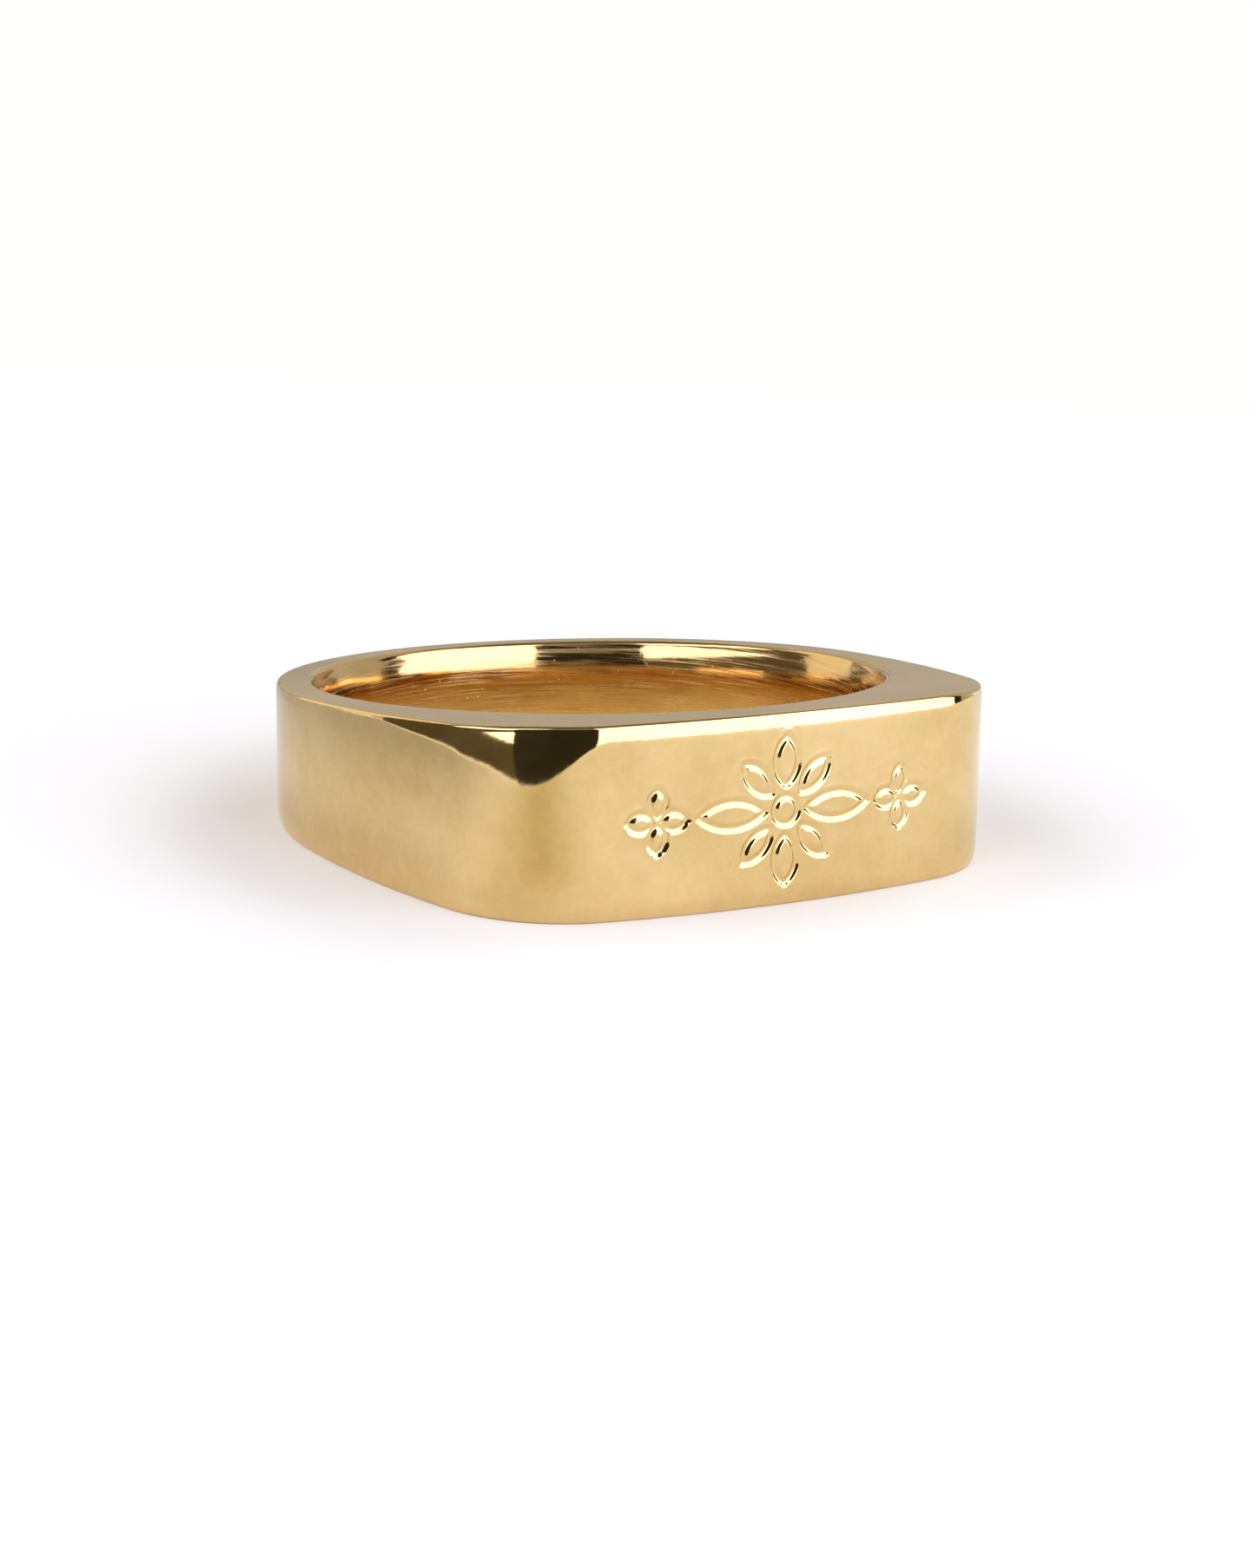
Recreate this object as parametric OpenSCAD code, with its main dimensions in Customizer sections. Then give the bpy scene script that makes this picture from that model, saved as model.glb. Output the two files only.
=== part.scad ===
// Signet ring lying on its side: a broad engraved head hard-soldered to a half-hoop shank.
// The origin is the middle of the finger bore. The flat side that the ring lies on is level,
// so the bore's axis leans by the taper of the ring's height. The signet face looks along -Y.

/* [Finger bore] */
// Inside diameter of the ring
bore_d = 18.5; // [15.4:0.1:21.5]
// Length of the straight wall in the middle of the bore
bore_land = 2; // [1:0.1:2.6]
// Radius that rounds the bore's wall outward on both sides of the straight part
comfort_r = 8; // [5:0.5:20]

/* [Head] */
// Metal between the bore and the middle of the face
head_wall = 2.05; // [1.4:0.05:3]
// Height of the ring at the middle of the face
face_h = 5.9; // [4.8:0.1:9]
// Radius of the gentle dome across the face
dome_r = 40; // [25:1:120]
// Radius of the two upright corners beside the face
corner_r = 4.4; // [1.5:0.1:5.4]
// Radius of the flanks that run from the corners back to the shank
flank_r = 29; // [20:1:60]

/* [Shank] */
// Metal between the bore and the outside of the shank
shank_wall = 1.4; // [1:0.05:1.9]
// Height of the ring at the back of the shank
back_h = 4; // [3:0.1:6]
// Thickness of the two soldered joints
seam_t = 0.06; // [0.03:0.01:0.15]

/* [Engraving] */
// Width of the cut lines at the surface of the face
line_w = 0.26; // [0.16:0.02:0.32]
// Depth of the cut lines
line_depth = 0.16; // [0.08:0.02:0.25]
// Reach of the rosette's two sideways petals
petal_side = 3; // [2.2:0.1:3.1]
// Reach of the rosette's two upright petals
petal_up = 2.25; // [1.6:0.05:2.3]
// Reach of the rosette's four slanting petals
petal_slant = 2.1; // [1.4:0.05:2.3]
// Half-width of the rosette's sideways and upright petals
petal_half_w = 0.4; // [0.25:0.01:0.5]
// Half-width of the rosette's slanting petals
slant_half_w = 0.3; // [0.2:0.01:0.4]
// Radius of the rosette's eye
eye_r = 0.42; // [0.32:0.01:0.6]
// Gap between the eye and the petals' points
petal_gap = 0.34; // [0.3:0.01:0.5]
// Distance along the face from its middle to each small floret
floret_off = 4.35; // [4.1:0.05:4.6]
// Reach of a floret's petals
floret_reach = 0.95; // [0.6:0.05:1.05]
// Half-width of a floret's petals
floret_half_w = 0.26; // [0.22:0.01:0.3]
// Distance from a floret's middle to its petals' inner points
floret_eye = 0.12; // [0.05:0.01:0.2]

/* [Hidden] */
$fn = 144;
gold = [0.86, 0.67, 0.36];
solder = [0.84, 0.68, 0.40];
bore_r = bore_d / 2;
face_y = bore_r + head_wall;
shank_r = bore_r + shank_wall;
// Half the height falls by this much for each millimetre toward the back
fall = (face_h - back_h) / 2 / (face_y + shank_r);
taper = atan(fall);
// Half the width that every cutting shape covers
reach = 2 * shank_r;
dome_c = [0, dome_r - face_y];
flank_c = [shank_r - flank_r, 0];
corner_c = circles_cross(dome_c, dome_r - corner_r, flank_c, flank_r - corner_r);

function half_h(y) = face_h / 2 - fall * (y + face_y);

// Right-hand crossing of the circle of radius ra about a with the circle of radius rb about b
function circles_cross(a, ra, b, rb) =
    let (d = norm(b - a), along = (b - a) / d, t = (d * d + ra * ra - rb * rb) / (2 * d))
    a + along * t + [-along[1], along[0]] * sqrt(ra * ra - t * t);

// Metal outside the corner's arc, between its two ends
module corner_waste() {
    to_face = (corner_c - dome_c) / norm(corner_c - dome_c);
    to_flank = (corner_c - flank_c) / norm(corner_c - flank_c);
    far = 2 * corner_r;
    difference() {
        polygon([corner_c, corner_c + to_face * far, corner_c + (to_face + to_flank) * far,
            corner_c + to_flank * far]);
        translate(corner_c) circle(corner_r);
    }
}

// Outside of the head in plan: domed face, rounded corners and flanks
module head_outline() {
    difference() {
        intersection() {
            translate([-reach, -reach]) square([2 * reach, reach]);
            translate(dome_c) circle(dome_r);
            translate(flank_c) circle(flank_r);
            mirror([1, 0]) translate(flank_c) circle(flank_r);
        }
        corner_waste();
        mirror([1, 0]) corner_waste();
    }
}

module outline() {
    head_outline();
    intersection() {
        circle(shank_r);
        translate([-reach, 0]) square([2 * reach, reach]);
    }
}

// Side view of the ring, which tapers from the face to the back
module tapered_height() {
    rotate([90, 0, 90])
        linear_extrude(2 * reach, center = true)
            polygon([[-reach, half_h(-reach)], [-reach, -half_h(-reach)],
                [reach, -half_h(reach)], [reach, half_h(reach)]]);
}

// Straight bore that flares toward both sides, for an easy fit on the finger
module finger_bore() {
    flare_h = min(face_h, comfort_r);
    cylinder(h = bore_land, r = bore_r, center = true);
    for (side = [0, 1]) mirror([0, 0, side])
        rotate_extrude()
            difference() {
                translate([0, bore_land / 2]) square([bore_r + comfort_r, flare_h]);
                translate([bore_r + comfort_r, bore_land / 2]) circle(comfort_r);
            }
}

module hoop() {
    difference() {
        intersection() {
            linear_extrude(2 * face_h, center = true) outline();
            tapered_height();
        }
        finger_bore();
    }
}

// The part of the hoop between y = from and y = to
module hoop_between(from, to) {
    intersection() {
        hoop();
        translate([-reach, from, -face_h]) cube([2 * reach, to - from, 2 * face_h]);
    }
}

// Outline of a pointed petal along +X between two distances from the motif's middle.
// Its two arcs are moved outward by grow.
module petal_shape(start, end, half_w, grow) {
    half_l = (end - start) / 2;
    r = (half_l * half_l + half_w * half_w) / (2 * half_w);
    intersection() {
        translate([start + half_l, half_w - r]) circle(r + grow);
        translate([start + half_l, r - half_w]) circle(r + grow);
    }
}

// Line cut round a petal
module petal(start, end, half_w) {
    difference() {
        petal_shape(start, end, half_w, line_w / 2);
        petal_shape(start, end, half_w, -line_w / 2);
    }
}

module rosette() {
    start = eye_r + petal_gap;
    difference() {
        circle(eye_r + line_w / 2);
        circle(eye_r - line_w / 2);
    }
    for (turn = [0, 180]) rotate(turn) {
        petal(start, petal_side, petal_half_w);
        rotate(90) petal(start, petal_up, petal_half_w);
        for (slant = [45, 135]) rotate(slant) petal(start, petal_slant, slant_half_w);
    }
}

module floret() {
    for (turn = [0:90:270]) rotate(turn) petal(floret_eye, floret_reach, floret_half_w);
}

// The ornament's lines, as deep everywhere as line_depth below the domed face
module engraving() {
    cut_h = 2 * head_wall / 3;
    difference() {
        translate([0, cut_h - face_y, 0])
            rotate([90, 0, 0])
                linear_extrude(2 * cut_h) {
                    rosette();
                    for (side = [-1, 1]) translate([side * floret_off, 0]) floret();
                }
        translate(dome_c) cylinder(h = 2 * face_h, r = dome_r - line_depth, center = true);
    }
}

// Turns the ring onto its lower side
module lying_down() {
    rotate([-taper, 0, 0]) children();
}

module signet_head() {
    color(gold)
        lying_down()
            difference() {
                hoop_between(-reach, -seam_t / 2);
                engraving();
            }
}

module shank() {
    color(gold) lying_down() hoop_between(seam_t / 2, reach);
}

// One of the two thin layers of solder between the head and the shank
module solder_seam(side) {
    color(solder)
        lying_down()
            intersection() {
                hoop_between(-seam_t / 2, seam_t / 2);
                translate([side > 0 ? 0 : -reach, -reach, -face_h]) cube([reach, 2 * reach, 2 * face_h]);
            }
}

module solder_seam_left() {
    solder_seam(-1);
}

module solder_seam_right() {
    solder_seam(1);
}

signet_head();
shank();
solder_seam_left();
solder_seam_right();
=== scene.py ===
import math
import bpy
import bmesh
from mathutils import Matrix, Vector


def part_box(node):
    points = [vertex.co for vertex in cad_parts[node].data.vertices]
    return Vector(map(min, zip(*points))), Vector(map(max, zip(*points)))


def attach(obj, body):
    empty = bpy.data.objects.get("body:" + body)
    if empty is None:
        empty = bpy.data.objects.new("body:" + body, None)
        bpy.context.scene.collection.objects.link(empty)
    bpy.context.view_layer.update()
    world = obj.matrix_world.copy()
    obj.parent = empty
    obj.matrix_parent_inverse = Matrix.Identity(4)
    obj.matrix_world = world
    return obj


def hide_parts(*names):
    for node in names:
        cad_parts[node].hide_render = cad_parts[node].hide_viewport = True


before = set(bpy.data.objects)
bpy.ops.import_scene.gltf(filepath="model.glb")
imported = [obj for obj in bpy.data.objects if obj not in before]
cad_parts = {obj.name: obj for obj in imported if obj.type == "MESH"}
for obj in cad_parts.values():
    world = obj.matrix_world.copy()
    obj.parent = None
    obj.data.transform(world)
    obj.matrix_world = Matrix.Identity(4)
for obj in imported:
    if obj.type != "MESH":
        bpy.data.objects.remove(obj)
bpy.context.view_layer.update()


# ---------------------------------------------------------------- shank
# The shank is the half hoop behind the finger: gold wire drawn to a flat section, bent round a
# mandrel and filed to taper toward the back. Its edges are rolled over by polishing and its
# inside is domed, so that it slides over the knuckle.

MM = 0.001
bore_radius = 9.25
shank_radius = 10.65
face_distance = 11.3
face_height = 5.9
back_height = 4.0
seam_thickness = 0.06
# How far the bore flares out toward its two ends, and the radii that polishing gave the edges.
bore_dome = 0.22
bore_edge = 0.18
edge_radius = 0.13
# Buffing has leaned the upper part of the outside inward. Each pair is an angle round the finger,
# from the middle of the face, and how far down the lean reaches. The left front corner has worn
# the most.
crown_reaches = ((-180, 0.08), (-66, 0.08), (-53, 0.75), (-44, 1.45), (-38.5, 2.15),
                 (-34.5, 1.4), (-30.5, 0.45), (30, 0.34), (35, 0.15), (180, 0.08))
low_crown_reach = 0.3
# How far the lean moves the edge inward, as a share of its reach.
crown_lean = 0.153
height_fall = (face_height - back_height) / 2 / (face_distance + shank_radius)
taper = math.atan(height_fall)
sin_taper, cos_taper = math.sin(taper), math.cos(taper)


def half_height(y):
    """Half the ring's height, which falls from the face to the back."""
    return face_height / 2 - height_fall * (y + face_distance)


def lay_down(point):
    """Turns a point, in millimetres and square to the finger's axis, onto the lower side."""
    x, y, z = point
    return Vector((x, y * cos_taper + z * sin_taper, z * cos_taper - y * sin_taper)) * MM


def crown_reach_at(angle):
    """How far down the crown reaches at an angle, between the two nearest given ones."""
    angle = max(-180, min(180, angle))
    for (start, start_reach), (end, end_reach) in zip(crown_reaches, crown_reaches[1:]):
        if angle <= end:
            return start_reach + (end_reach - start_reach) * (angle - start) / (end - start)


def outside_column(point, out):
    """A place on the outline, the direction that faces out, and its crown's reach, smoothed."""
    angle = math.degrees(math.atan2(point.x, -point.y))
    nearby = [crown_reach_at(angle + step / 5) for step in range(-10, 11)]
    return point, out, sum(nearby) / len(nearby)


def arc_columns(centre, radius, start, end, count):
    """Columns along an arc of the outline."""
    columns = []
    for i in range(count):
        angle = start + (end - start) * i / (count - 1)
        out = Vector((math.cos(angle), math.sin(angle)))
        columns.append(outside_column(Vector(centre) + out * radius, out))
    return columns


def section_rows(wall_rows):
    """Stations round the ring's cross-section, from the foot of the outer wall up and over."""
    edge_rows, bore_edge_rows, bore_rows = 10, 8, 32
    quarter = math.pi / 2
    rows = [("wall", -1 + 2 * i / wall_rows) for i in range(wall_rows)]
    rows += [("edge", quarter * i / edge_rows) for i in range(edge_rows)]
    rows += [("side", t) for t in (0, 0.03, 0.1, 0.3, 0.5, 0.7, 0.9, 0.97)]
    rows += [("bore_edge", quarter * (1 - i / bore_edge_rows)) for i in range(bore_edge_rows)]
    rows += [("bore", 1 - 2 * i / bore_rows) for i in range(bore_rows)]
    rows += [("low_bore_edge", quarter * i / bore_edge_rows) for i in range(bore_edge_rows)]
    rows += [("low_side", t) for t in (1, 0.97, 0.9, 0.7, 0.5, 0.3, 0.1, 0.03)]
    rows += [("low_edge", quarter * (1 - i / edge_rows)) for i in range(edge_rows)]
    rows.append(("wall", -1))
    return rows


def crown(reach, from_edge):
    """How far the outside leans inward at a distance from the nearer edge."""
    return crown_lean * reach * max(0, 1 - from_edge / reach) ** 2


def surface_point(column, row, cut):
    """The place on the polished surface at one column of the outline and one row of the section."""
    outside, out, crown_reach = column
    kind, t = row
    inward = Vector(outside[:]).normalized()
    sign = -1 if kind.startswith("low_") else 1
    kind = kind.replace("low_", "")
    if kind == "wall":
        height = half_height(outside.y) - edge_radius
        lean = crown(crown_reach, height * (1 - t)) + crown(low_crown_reach, height * (1 + t))
        flat = outside - out * (lean + cut(outside, t * height))
        return lay_down((flat.x, flat.y, t * height))
    lean = crown(crown_reach if sign > 0 else low_crown_reach, 0)
    if kind == "edge":
        flat = outside - out * (lean + edge_radius * (1 - math.cos(t)))
        height = half_height(outside.y) - edge_radius * (1 - math.sin(t))
        return lay_down((flat.x, flat.y, sign * height))
    bore_end = bore_radius + bore_dome
    if kind == "side":
        flat = (outside - out * (lean + edge_radius)).lerp(inward * (bore_end + bore_edge), t)
        height = half_height(outside.y) * (1 - t) + half_height(inward.y * bore_end) * t
        return lay_down((flat.x, flat.y, sign * height))
    if kind == "bore_edge":
        flat = inward * (bore_end + bore_edge * (1 - math.cos(t)))
        height = half_height(inward.y * bore_end) - bore_edge * (1 - math.sin(t))
        return lay_down((flat.x, flat.y, sign * height))
    height = half_height(inward.y * bore_end) - bore_edge
    flat = inward * (bore_radius + bore_dome * t ** 4)
    return lay_down((flat.x, flat.y, t * height))


def no_cut(place, height):
    """A wall with nothing cut into it."""
    return 0


def placed(name, bm):
    """Turns a finished bmesh into an object that sits at the origin."""
    mesh = bpy.data.meshes.new(name)
    bm.to_mesh(mesh)
    bm.free()
    piece = bpy.data.objects.new(name, mesh)
    bpy.context.scene.collection.objects.link(piece)
    return piece


def hoop_piece(name, columns, wall_rows, cut=no_cut):
    """Rolls a flat sheet up into a stretch of the ring with closed, sharp-edged ends."""
    rows = section_rows(wall_rows)
    bm = bmesh.new()
    bmesh.ops.create_grid(bm, x_segments=len(columns) - 1, y_segments=len(rows) - 1, size=0.5)
    for vert in bm.verts:
        column = columns[round((vert.co.x + 0.5) * (len(columns) - 1))]
        row = rows[round((vert.co.y + 0.5) * (len(rows) - 1))]
        vert.co = surface_point(column, row, cut)
    bmesh.ops.remove_doubles(bm, verts=bm.verts, dist=0.0005 * MM)
    for face in bm.faces:
        face.smooth = True
    ends = [edge for edge in bm.edges if edge.is_boundary]
    for edge in ends:
        edge.smooth = False
    bmesh.ops.holes_fill(bm, edges=ends, sides=0)
    bmesh.ops.recalc_face_normals(bm, faces=bm.faces)
    return placed(name, bm)


def linear(hex_colour):
    """An sRGB hex colour as the linear colour that shaders take."""
    parts = [int(hex_colour[i:i + 2], 16) / 255 for i in (1, 3, 5)]
    return [p / 12.92 if p < 0.04045 else ((p + 0.055) / 1.055) ** 2.4 for p in parts] + [1]


def add_node(material, kind, settings=None, links=None):
    """Adds one shader node, sets its properties and inputs, and wires inputs to other sockets."""
    node = material.node_tree.nodes.new(kind)
    for key, value in (settings or {}).items():
        if key in node.inputs:
            node.inputs[key].default_value = value
        else:
            setattr(node, key, value)
    for key, socket in (links or {}).items():
        material.node_tree.links.new(socket, node.inputs[key])
    return node


def polished_gold(name, light_hex, dark_hex, bore_reflection_hex):
    """Yellow gold: a wheel-buffed mirror outside, finely brushed round the bore."""
    material = bpy.data.materials.new(name)
    material.use_nodes = True
    shader = material.node_tree.nodes["Principled BSDF"]
    place = add_node(material, "ShaderNodeTexCoord").outputs["Object"]
    # 1 inside the bore and 0 outside it, by the distance from the finger's axis.
    flat_place = add_node(material, "ShaderNodeVectorMath", {"operation": "MULTIPLY"}, {0: place})
    flat_place.inputs[1].default_value = (1, 1, 0)
    from_axis = add_node(material, "ShaderNodeVectorMath", {"operation": "LENGTH"},
                         {0: flat_place.outputs["Vector"]})
    in_bore = add_node(material, "ShaderNodeMapRange",
                       {"From Min": 9.55 * MM, "From Max": 9.7 * MM, "To Min": 1, "To Max": 0},
                       {"Value": from_axis.outputs["Value"]})
    # Buffing leaves shallow waves about 2.5 mm long and a mottle of about 0.4 mm.
    waves = add_node(material, "ShaderNodeTexNoise",
                     {"Scale": 400, "Detail": 2, "Roughness": 0.4, "Distortion": 0.6},
                     {"Vector": place})
    mottle = add_node(material, "ShaderNodeTexNoise",
                      {"Scale": 2400, "Detail": 4, "Roughness": 0.6, "Distortion": 0.8},
                      {"Vector": place})
    # Hairlines run round the ring along the wheel's path. Real ones are a few hundredths of a
    # millimetre apart, and these are about 0.1 mm, so that they show.
    along = add_node(material, "ShaderNodeMapping", {"Scale": (0.04, 0.04, 1)}, {"Vector": place})
    hairs = add_node(material, "ShaderNodeTexNoise",
                     {"Scale": 11000, "Detail": 3, "Roughness": 0.75},
                     {"Vector": along.outputs["Vector"]})
    # Hazy patches a few millimetres across, where the wheel dwelt for less time.
    patches = add_node(material, "ShaderNodeTexNoise", {"Scale": 260, "Detail": 5},
                       {"Vector": place})
    cloud = add_node(material, "ShaderNodeMath", {"operation": "MULTIPLY_ADD"},
                     {0: mottle.outputs["Fac"], 2: patches.outputs["Fac"]})
    cloud.inputs[1].default_value = 0.6
    toned = add_node(material, "ShaderNodeMapRange", {"From Min": 0.6, "From Max": 1},
                     {"Value": cloud.outputs["Value"]})
    tone = add_node(material, "ShaderNodeMix", {"data_type": "RGBA"},
                    {"Factor": toned.outputs["Result"]})
    tone.inputs[6].default_value = linear(dark_hex)
    tone.inputs[7].default_value = linear(light_hex)
    # Brushed gold in the bore mirrors itself in every scratch. Its colour is deepened toward a
    # darker amber in streaks, which is painted reflection. The streaks are about 0.3 mm apart.
    streaks = add_node(material, "ShaderNodeTexNoise",
                       {"Scale": 3200, "Detail": 5, "Roughness": 0.7},
                       {"Vector": along.outputs["Vector"]})
    painted_bore_reflection = add_node(material, "ShaderNodeMath", {"operation": "MULTIPLY"},
                        {0: in_bore.outputs["Result"], 1: streaks.outputs["Fac"]})
    colour = add_node(material, "ShaderNodeMix", {"data_type": "RGBA"},
                      {"Factor": painted_bore_reflection.outputs["Value"], 6: tone.outputs[2]})
    colour.inputs[7].default_value = linear(bore_reflection_hex)
    # The mirror outside is a little hazier in the cloudy patches.
    haze_map = add_node(material, "ShaderNodeMapRange",
                        {"From Min": 0.6, "From Max": 1, "To Min": 0.05, "To Max": 0.1},
                        {"Value": cloud.outputs["Value"]})
    # The flat sides were finished on a lap, which leaves them softer than the buffed outside.
    facing = add_node(material, "ShaderNodeSeparateXYZ", None,
                      {"Vector": add_node(material, "ShaderNodeTexCoord").outputs["Normal"]})
    flatness = add_node(material, "ShaderNodeMath", {"operation": "ABSOLUTE"},
                        {0: facing.outputs["Z"]})
    lapped = add_node(material, "ShaderNodeMapRange",
                      {"From Min": 0.9, "From Max": 0.99, "To Min": 0, "To Max": 0.12},
                      {"Value": flatness.outputs["Value"]})
    # The inside buff leaves lines about 0.05 mm apart round the bore, and dull specks less than
    # 0.1 mm across between them.
    lines_along = add_node(material, "ShaderNodeMapping", {"Scale": (0.02, 0.02, 1)},
                           {"Vector": place})
    lines = add_node(material, "ShaderNodeTexNoise",
                     {"Scale": 19000, "Detail": 2, "Roughness": 0.6},
                     {"Vector": lines_along.outputs["Vector"]})
    brushed = add_node(material, "ShaderNodeMapRange",
                       {"From Min": 0.46, "From Max": 0.64, "To Min": 0, "To Max": 0.2},
                       {"Value": lines.outputs["Fac"]})
    grains = add_node(material, "ShaderNodeTexVoronoi", {"Scale": 2600}, {"Vector": place})
    speck = add_node(material, "ShaderNodeMapRange",
                     {"From Min": 0.05, "From Max": 0.1, "To Min": 0.4, "To Max": 0},
                     {"Value": grains.outputs["Distance"]})
    bore_haze = add_node(material, "ShaderNodeMath", {"operation": "ADD"},
                         {0: brushed.outputs["Result"], 1: speck.outputs["Result"]})
    outer_haze = add_node(material, "ShaderNodeMath", {"operation": "ADD"},
                          {0: haze_map.outputs["Result"], 1: lapped.outputs["Result"]})
    rough = add_node(material, "ShaderNodeMath", {"operation": "MULTIPLY_ADD"},
                     {0: bore_haze.outputs["Value"], 1: in_bore.outputs["Result"],
                      2: outer_haze.outputs["Value"]})
    # The hairlines and the mottle are 0.003 mm deep and the waves 0.02 mm.
    brushing = add_node(material, "ShaderNodeMapRange", {"To Min": 0.07, "To Max": 0.5},
                        {"Value": in_bore.outputs["Result"]})
    fine = add_node(material, "ShaderNodeBump", {"Distance": 0.003 * MM},
                    {"Height": hairs.outputs["Fac"], "Strength": brushing.outputs["Result"]})
    ripple = add_node(material, "ShaderNodeBump", {"Strength": 0.5, "Distance": 0.003 * MM},
                      {"Height": mottle.outputs["Fac"], "Normal": fine.outputs["Normal"]})
    bump = add_node(material, "ShaderNodeBump", {"Strength": 1, "Distance": 0.02 * MM},
                    {"Height": waves.outputs["Fac"], "Normal": ripple.outputs["Normal"]})
    # The wheel's path round the ring draws highlights out across it.
    shader.inputs["Metallic"].default_value = 1
    shader.inputs["Anisotropic"].default_value = 0.5
    shader.inputs["Anisotropic Rotation"].default_value = 0.25
    for key, socket in (("Base Color", colour.outputs[2]), ("Roughness", rough.outputs["Value"]),
                        ("Normal", bump.outputs["Normal"])):
        material.node_tree.links.new(socket, shader.inputs[key])
    return material


plain_wall_rows = 36
shank_columns = 181
shank_start = math.asin(seam_thickness / 2 / shank_radius)
shank = hoop_piece("shank_half_hoop", arc_columns((0, 0), shank_radius, shank_start,
                                                  math.pi - shank_start, shank_columns),
                   plain_wall_rows)
shank_gold = polished_gold("buffed_yellow_gold_shank", "#e6c98f", "#d9b97c", "#dcb478")
shank.data.materials.append(shank_gold)
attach(shank, "root")
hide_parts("shank")


# ---------------------------------------------------------------- signet head
# The head is the heavy front half: a block of gold with a broad, slightly domed face, filed
# corners and flanks. A flower ornament is cut into the face with a round-nosed graver, whose
# lines end in points and have a slightly raised lip.

dome_radius = 40
corner_radius = 4.4
flank_radius = 29
line_width = 0.27
line_depth = 0.06
lip_height = 0.006
# From the groove's edge to the top of the lip.
lip_offset = 0.047
rosette_eye = 0.42
petal_gap = 0.34
floret_offset = 4.35
floret_eye = 0.12
ornament_half_width = 5.85


def petal(start, end, half_width, angle, middle=0):
    """A pointed petal's two arcs: where its middle is, its direction, its reach and its radius."""
    half_length = (end - start) / 2
    radius = (half_length ** 2 + half_width ** 2) / (2 * half_width)
    return middle, math.radians(angle), start + half_length, half_length, radius, half_width


petals = [petal(rosette_eye + petal_gap, 3.0, 0.4, turn) for turn in (0, 180)]
petals += [petal(rosette_eye + petal_gap, 2.25, 0.4, turn) for turn in (90, 270)]
petals += [petal(rosette_eye + petal_gap, 2.1, 0.3, turn) for turn in (45, 135, 225, 315)]
petals += [petal(floret_eye, 0.95, 0.26, turn, side * floret_offset)
           for side in (-1, 1) for turn in (0, 90, 180, 270)]


def line_distance(x, z):
    """Distance from a place on the face to the middle of the nearest engraved line."""
    nearest = abs(math.hypot(x, z) - rosette_eye)
    for middle, angle, reach, half_length, radius, half_width in petals:
        across = x - middle
        if math.hypot(across, z) > reach + half_length + line_width:
            continue
        u = across * math.cos(angle) + z * math.sin(angle) - reach
        v = abs(z * math.cos(angle) - across * math.sin(angle))
        if abs(u) <= half_length:
            nearest = min(nearest, abs(math.hypot(u, v - half_width + radius) - radius))
        else:
            nearest = min(nearest, math.hypot(abs(u) - half_length, v))
    return nearest


def graver_cut(place, height):
    """How far the graver's line lies below the face, with a low burr along both its lips."""
    if place.y > 0 or abs(place.x) > ornament_half_width:
        return 0
    distance = line_distance(place.x, height)
    half = line_width / 2
    if distance < half:
        return line_depth * (1 - (distance / half) ** 2)
    from_lip = (distance - half - lip_offset) / lip_offset
    return -lip_height * math.exp(-from_lip ** 2)


def crossing(centre_a, radius_a, centre_b, radius_b):
    """The crossing of two circles on the side of the right front corner."""
    apart = centre_b - centre_a
    gap = apart.length
    along = (gap ** 2 + radius_a ** 2 - radius_b ** 2) / (2 * gap)
    unit = apart / gap
    across = Vector((-unit.y, unit.x))
    return centre_a + unit * along + across * math.sqrt(radius_a ** 2 - along ** 2)


dome_centre = Vector((0, dome_radius - face_distance))
flank_centre = Vector((shank_radius - flank_radius, 0))
corner_centre = crossing(dome_centre, dome_radius - corner_radius,
                         flank_centre, flank_radius - corner_radius)
face_end = math.atan2(*reversed((corner_centre - dome_centre)[:]))
flank_end = math.atan2(*reversed((corner_centre - flank_centre)[:]))
seam_angle = -math.asin(seam_thickness / 2 / flank_radius)
# The engraved face has columns and rows about 0.05 mm apart, which the graver's lines need.
face_columns, corner_columns, flank_columns, engraved_wall_rows = 151, 61, 36, 116
right_side = (arc_columns(dome_centre, dome_radius, -math.pi / 2, face_end, face_columns)
              + arc_columns(corner_centre, corner_radius, face_end, flank_end, corner_columns)[1:]
              + arc_columns(flank_centre, flank_radius, flank_end, seam_angle, flank_columns)[1:])
left_side = [outside_column(Vector((-point.x, point.y)), Vector((-out.x, out.y)))
             for point, out, reach in reversed(right_side[1:])]
head = hoop_piece("signet_head_engraved", left_side + right_side, engraved_wall_rows,
                  graver_cut)
head_gold = polished_gold("buffed_yellow_gold_head", "#e6c98f", "#d9b97c", "#dcb478")
head.data.materials.append(head_gold)
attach(head, "root")
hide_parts("signet_head")


# ---------------------------------------------------------------- solder seams
# Two thin layers of hard gold solder join the head to the shank. They are filed and buffed
# flush, so that they can hardly be told from the gold beside them.

seam_gold = polished_gold("buffed_gold_solder", "#e6c990", "#d9b97e", "#dcb47a")
for side, seam_name in ((-1, "left"), (1, "right")):
    near_head = outside_column(Vector((side * right_side[-1][0].x, right_side[-1][0].y)),
                               Vector((side, 0)))
    near_shank = outside_column(Vector((side * shank_radius, seam_thickness / 2)),
                                Vector((side, 0)))
    order = [near_head, near_shank] if side > 0 else [near_shank, near_head]
    seam = hoop_piece("solder_layer_" + seam_name, order, plain_wall_rows)
    seam.data.materials.append(seam_gold)
    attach(seam, "root")
    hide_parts("solder_seam_" + seam_name)


# ---------------------------------------------------------------- studio
# The ring lies on a round pale table between two soft lamps. White and dark cards stand round
# it, out of the camera's sight, and are what the polished gold mirrors.

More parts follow.
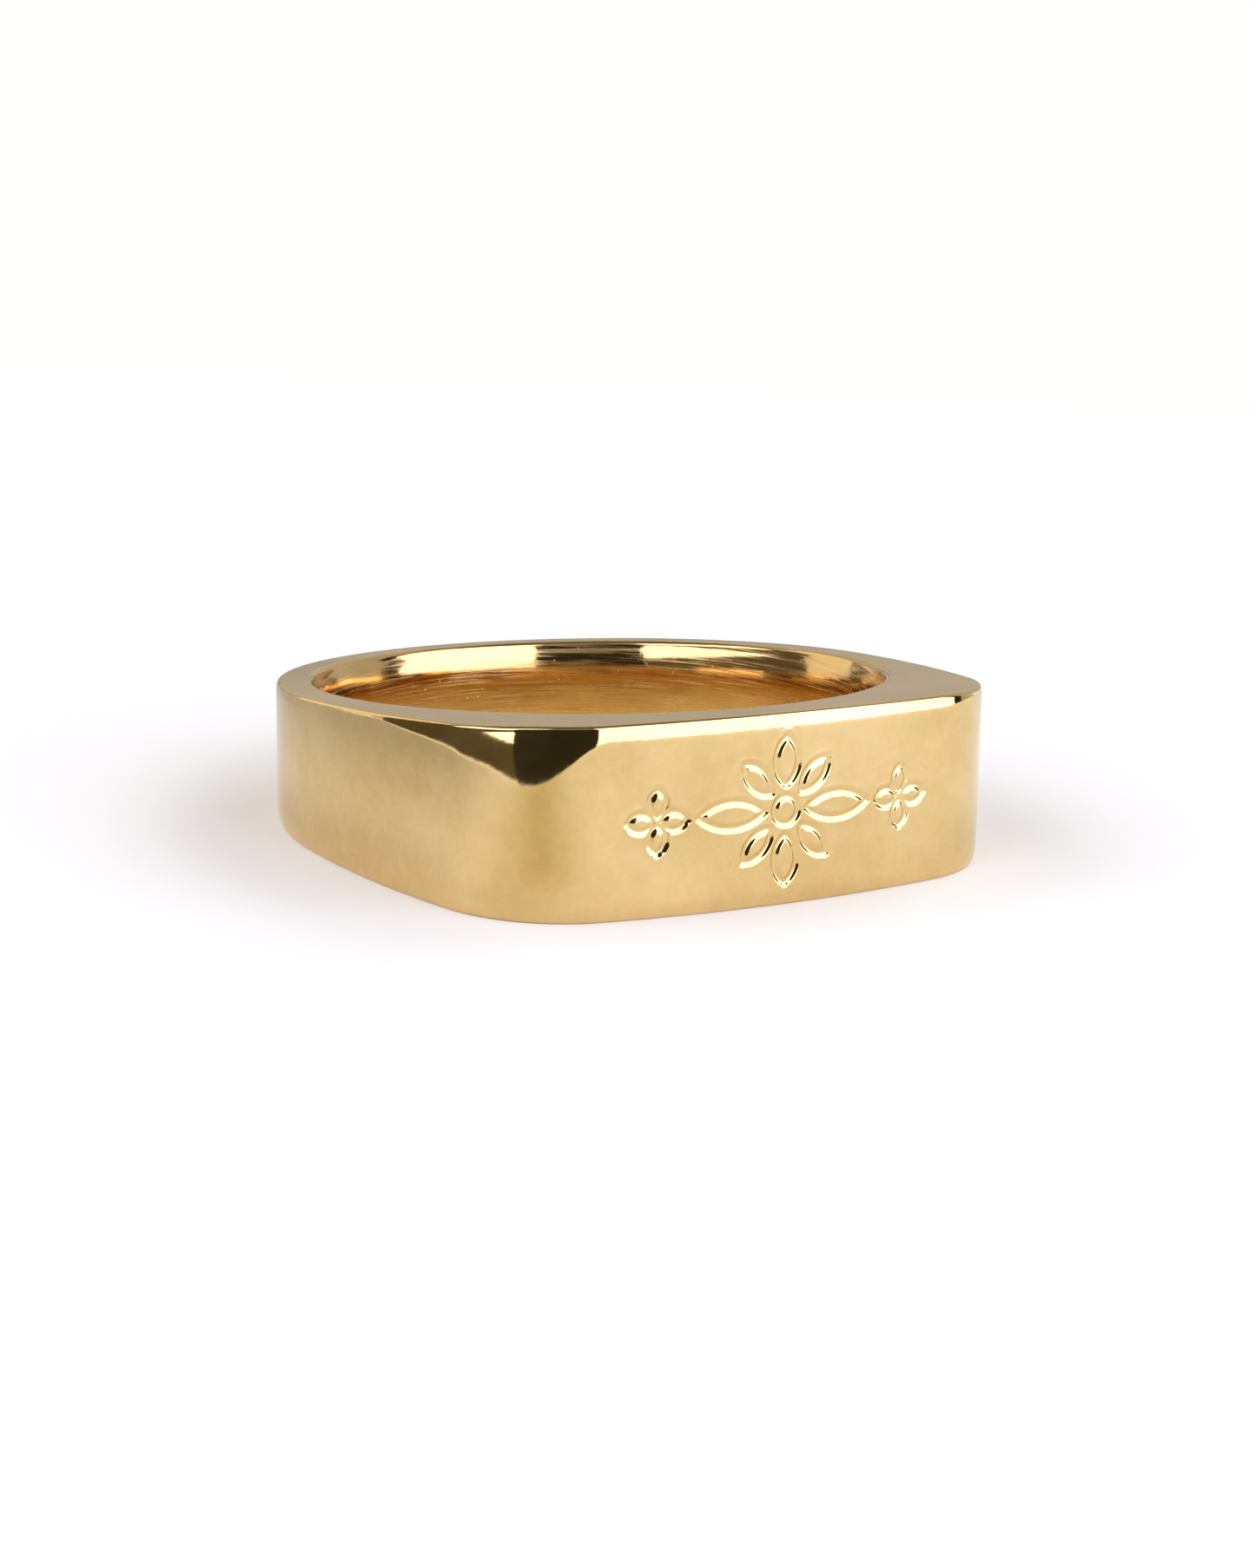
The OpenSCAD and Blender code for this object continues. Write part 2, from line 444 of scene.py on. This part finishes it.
floor_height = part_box("signet_head")[0].z
table_radius = 150
rim_glow_start = 40
bm = bmesh.new()
bmesh.ops.create_circle(bm, cap_ends=True, segments=128, radius=table_radius * MM)
bmesh.ops.translate(bm, verts=bm.verts, vec=(0, 0, floor_height))
table = placed("table", bm)
paper = bpy.data.materials.new("white_paper")
paper.use_nodes = True
paper_shader = paper.node_tree.nodes["Principled BSDF"]
paper_shader.inputs["Base Color"].default_value = linear("#f2f1ec")
paper_shader.inputs["Roughness"].default_value = 0.9
paper_shader.inputs["Specular IOR Level"].default_value = 0.1
# Toward its rim the paper glows a little, painted light that fades it into the white backdrop.
from_ring = add_node(paper, "ShaderNodeVectorMath", {"operation": "LENGTH"},
                     {0: add_node(paper, "ShaderNodeTexCoord").outputs["Object"]})
rim_glow = add_node(paper, "ShaderNodeMapRange",
                {"From Min": rim_glow_start * MM, "From Max": table_radius * MM,
                 "To Min": 0, "To Max": 0.25},
                {"Value": from_ring.outputs["Value"]})
paper.node_tree.links.new(rim_glow.outputs["Result"], paper_shader.inputs["Emission Strength"])
table.data.materials.append(paper)


def studio_card(name, azimuth, width, low, high, distance, hex_colour, strength, slant=0):
    """A glowing or dark card that stands on an arc round the ring, seen only in reflections.

    Its middle, its width and its lower and upper edges are given in degrees as seen from the
    ring, its distance in metres, and slant is how much higher its right end is than its left.
    """
    bm = bmesh.new()
    bmesh.ops.create_grid(bm, x_segments=12, y_segments=1, size=0.5)
    for vert in bm.verts:
        angle = math.radians(azimuth + vert.co.x * width)
        lift = math.radians(low if vert.co.y < 0 else high + slant * vert.co.x)
        vert.co = Vector((math.sin(angle) * math.cos(lift), -math.cos(angle) * math.cos(lift),
                          math.sin(lift))) * distance
        vert.co.z += floor_height
    card = placed(name, bm)
    material = bpy.data.materials.new(name)
    material.use_nodes = True
    material.node_tree.nodes.clear()
    glow = add_node(material, "ShaderNodeEmission",
                    {"Color": linear(hex_colour), "Strength": strength})
    add_node(material, "ShaderNodeOutputMaterial", None, {"Surface": glow.outputs["Emission"]})
    card.data.materials.append(material)
    card.visible_camera = False
    # The dark cards are mirrored by the gold only, so they cast no grey on the table.
    card.visible_diffuse = card.visible_shadow = strength > 1


studio_card("key_card", 32, 68, 0, 52, 0.42, "#eeeeff", 3.4)
studio_card("key_edge", 71, 10, 0, 30, 0.4, "#34332a", 0.5)
studio_card("side_card", 88, 24, 0, 52, 0.42, "#f6f4f0", 0.6)
studio_card("camera_shade", -26.5, 49, 0, 34, 0.115, "#34332a", 0.9)
studio_card("cream_card", -83.5, 65, 0, 50, 0.42, "#f3f1ff", 3.1)
studio_card("low_shade", -90.5, 79, 0, 20, 0.36, "#5c5544", 1, -5)
studio_card("stand_shade", -122, 17, 0, 30, 0.4, "#34332a", 0.5)
studio_card("back_left_card", -146, 30, 0, 40, 0.42, "#fff6e8", 1.1)
studio_card("back_low_card", 157, 92, 0, 2.8, 0.48, "#ffe9c8", 0.15)
studio_card("grey_card", 157, 92, 0, 55, 0.5, "#fff8ea", 0.6)


def painted_table_shade(azimuth, distance):
    """Painted shade on the table that only the gold mirrors: an olive painted shadow in front of
    the ring, grey painted shade behind it, and amber painted light within it.
    """
    # Inside the ring the table carries amber painted light, as if bounced from the gold walls.
    if distance < 9:
        return (0.95, 0.76, 0.38, 1)
    away = max(0, distance - 12)
    # The olive painted shadow of the camera lies in front of the ring, centred 38 degrees to its
    # left.
    painted_camera_shadow = math.exp(-((azimuth + 38) / 15) ** 2) * min(1, away / 12)
    # Grey painted shade to the left of -74 degrees and to the right of 115, with soft ends 9
    # degrees long.
    behind = 1 / (1 + math.exp((azimuth + 74) / 9)) + 1 / (1 + math.exp((115 - azimuth) / 9))
    behind *= 0.46 * min(1, away / 16)
    olive = (0.28, 0.33, 0.52)
    return [1 - painted_camera_shadow * part - behind for part in olive] + [1]


# A clear veil just above the table carries painted shade and painted light that only the gold
# mirrors.
# Its columns stand round the ring and its rows lie closer together near it.
veil_radius = 100
veil_height = 0.05
bm = bmesh.new()
bmesh.ops.create_grid(bm, x_segments=160, y_segments=40, size=0.5)
painted_shade = bm.verts.layers.float_color.new("painted_shade")
for vert in bm.verts:
    azimuth = vert.co.x * 360
    distance = veil_radius * (vert.co.y + 0.5) ** 1.6
    vert[painted_shade] = painted_table_shade(azimuth, distance)
    angle = math.radians(azimuth)
    vert.co = Vector((math.sin(angle), -math.cos(angle), 0)) * distance * MM
    vert.co.z = floor_height + veil_height * MM
veil = placed("painted_shade_veil", bm)
painted_shade_material = bpy.data.materials.new("painted_shade_veil")
painted_shade_material.use_nodes = True
painted_shade_material.node_tree.nodes.clear()
stored = add_node(painted_shade_material, "ShaderNodeAttribute", {"attribute_name": "painted_shade"})
through = add_node(painted_shade_material, "ShaderNodeBsdfTransparent", None,
                   {"Color": stored.outputs["Color"]})
add_node(painted_shade_material, "ShaderNodeOutputMaterial", None, {"Surface": through.outputs["BSDF"]})
veil.data.materials.append(painted_shade_material)
veil.visible_camera = veil.visible_diffuse = veil.visible_shadow = False

# The two softboxes light the table, and the gold doesn't mirror them.
for lamp_name, lamp_place, energy in (("right_softbox", (0.34, 0.08, 0.33), 0.7),
                                      ("left_softbox", (-0.28, 0.22, 0.33), 0.58)):
    lamp = bpy.data.lights.new(lamp_name, "AREA")
    lamp.shape = "RECTANGLE"
    lamp.size = lamp.size_y = 0.3
    lamp.energy = energy
    lamp_object = bpy.data.objects.new(lamp_name, lamp)
    lamp_object.location = lamp_place
    lamp_object.rotation_euler = (-lamp_object.location).to_track_quat("-Z", "Y").to_euler()
    lamp_object.visible_glossy = False
    bpy.context.scene.collection.objects.link(lamp_object)

world = bpy.data.worlds.new("white_room")
bpy.context.scene.world = world
world.use_nodes = True
room = world.node_tree.nodes["Background"]
room.inputs["Color"].default_value = linear("#eef0f2")
# The room is pale at table height and dim overhead.
towards = add_node(world, "ShaderNodeSeparateXYZ", None,
                   {"Vector": add_node(world, "ShaderNodeTexCoord").outputs["Generated"]})
glow_above = add_node(world, "ShaderNodeMapRange",
                      {"From Min": 0.4, "From Max": 0.85, "To Min": 0.7, "To Max": 0.2},
                      {"Value": towards.outputs["Z"]})
world.node_tree.links.new(glow_above.outputs["Result"], room.inputs["Strength"])
# The backdrop behind the table is plain white.
backdrop = add_node(world, "ShaderNodeBackground", {"Color": linear("#fffffe"), "Strength": 1})
seen_by = add_node(world, "ShaderNodeLightPath")
both = add_node(world, "ShaderNodeMixShader", None,
                {0: seen_by.outputs["Is Camera Ray"], 1: room.outputs["Background"],
                 2: backdrop.outputs["Background"]})
world.node_tree.links.new(both.outputs["Shader"],
                          world.node_tree.nodes["World Output"].inputs["Surface"])
bpy.context.scene.view_settings.view_transform = "Standard"

# The camera is close to the ring, a little above it and to the left of the face.
camera_data = bpy.data.cameras.new("camera")
camera_data.lens = 63.2
camera_data.sensor_width = 36
camera_data.clip_start = 0.002
camera = bpy.data.objects.new("camera", camera_data)
bpy.context.scene.collection.objects.link(camera)
camera_place = Vector((-45.3, -77.4, 20.6)) * MM
camera_aim = Vector((0.74, -0.77, -1.2)) * MM
camera_roll = math.radians(2.18)
view = (camera_aim - camera_place).to_track_quat("-Z", "Y").to_matrix()
camera.location = camera_place
camera.rotation_euler = (view @ Matrix.Rotation(camera_roll, 3, "Z")).to_euler()
bpy.context.scene.camera = camera
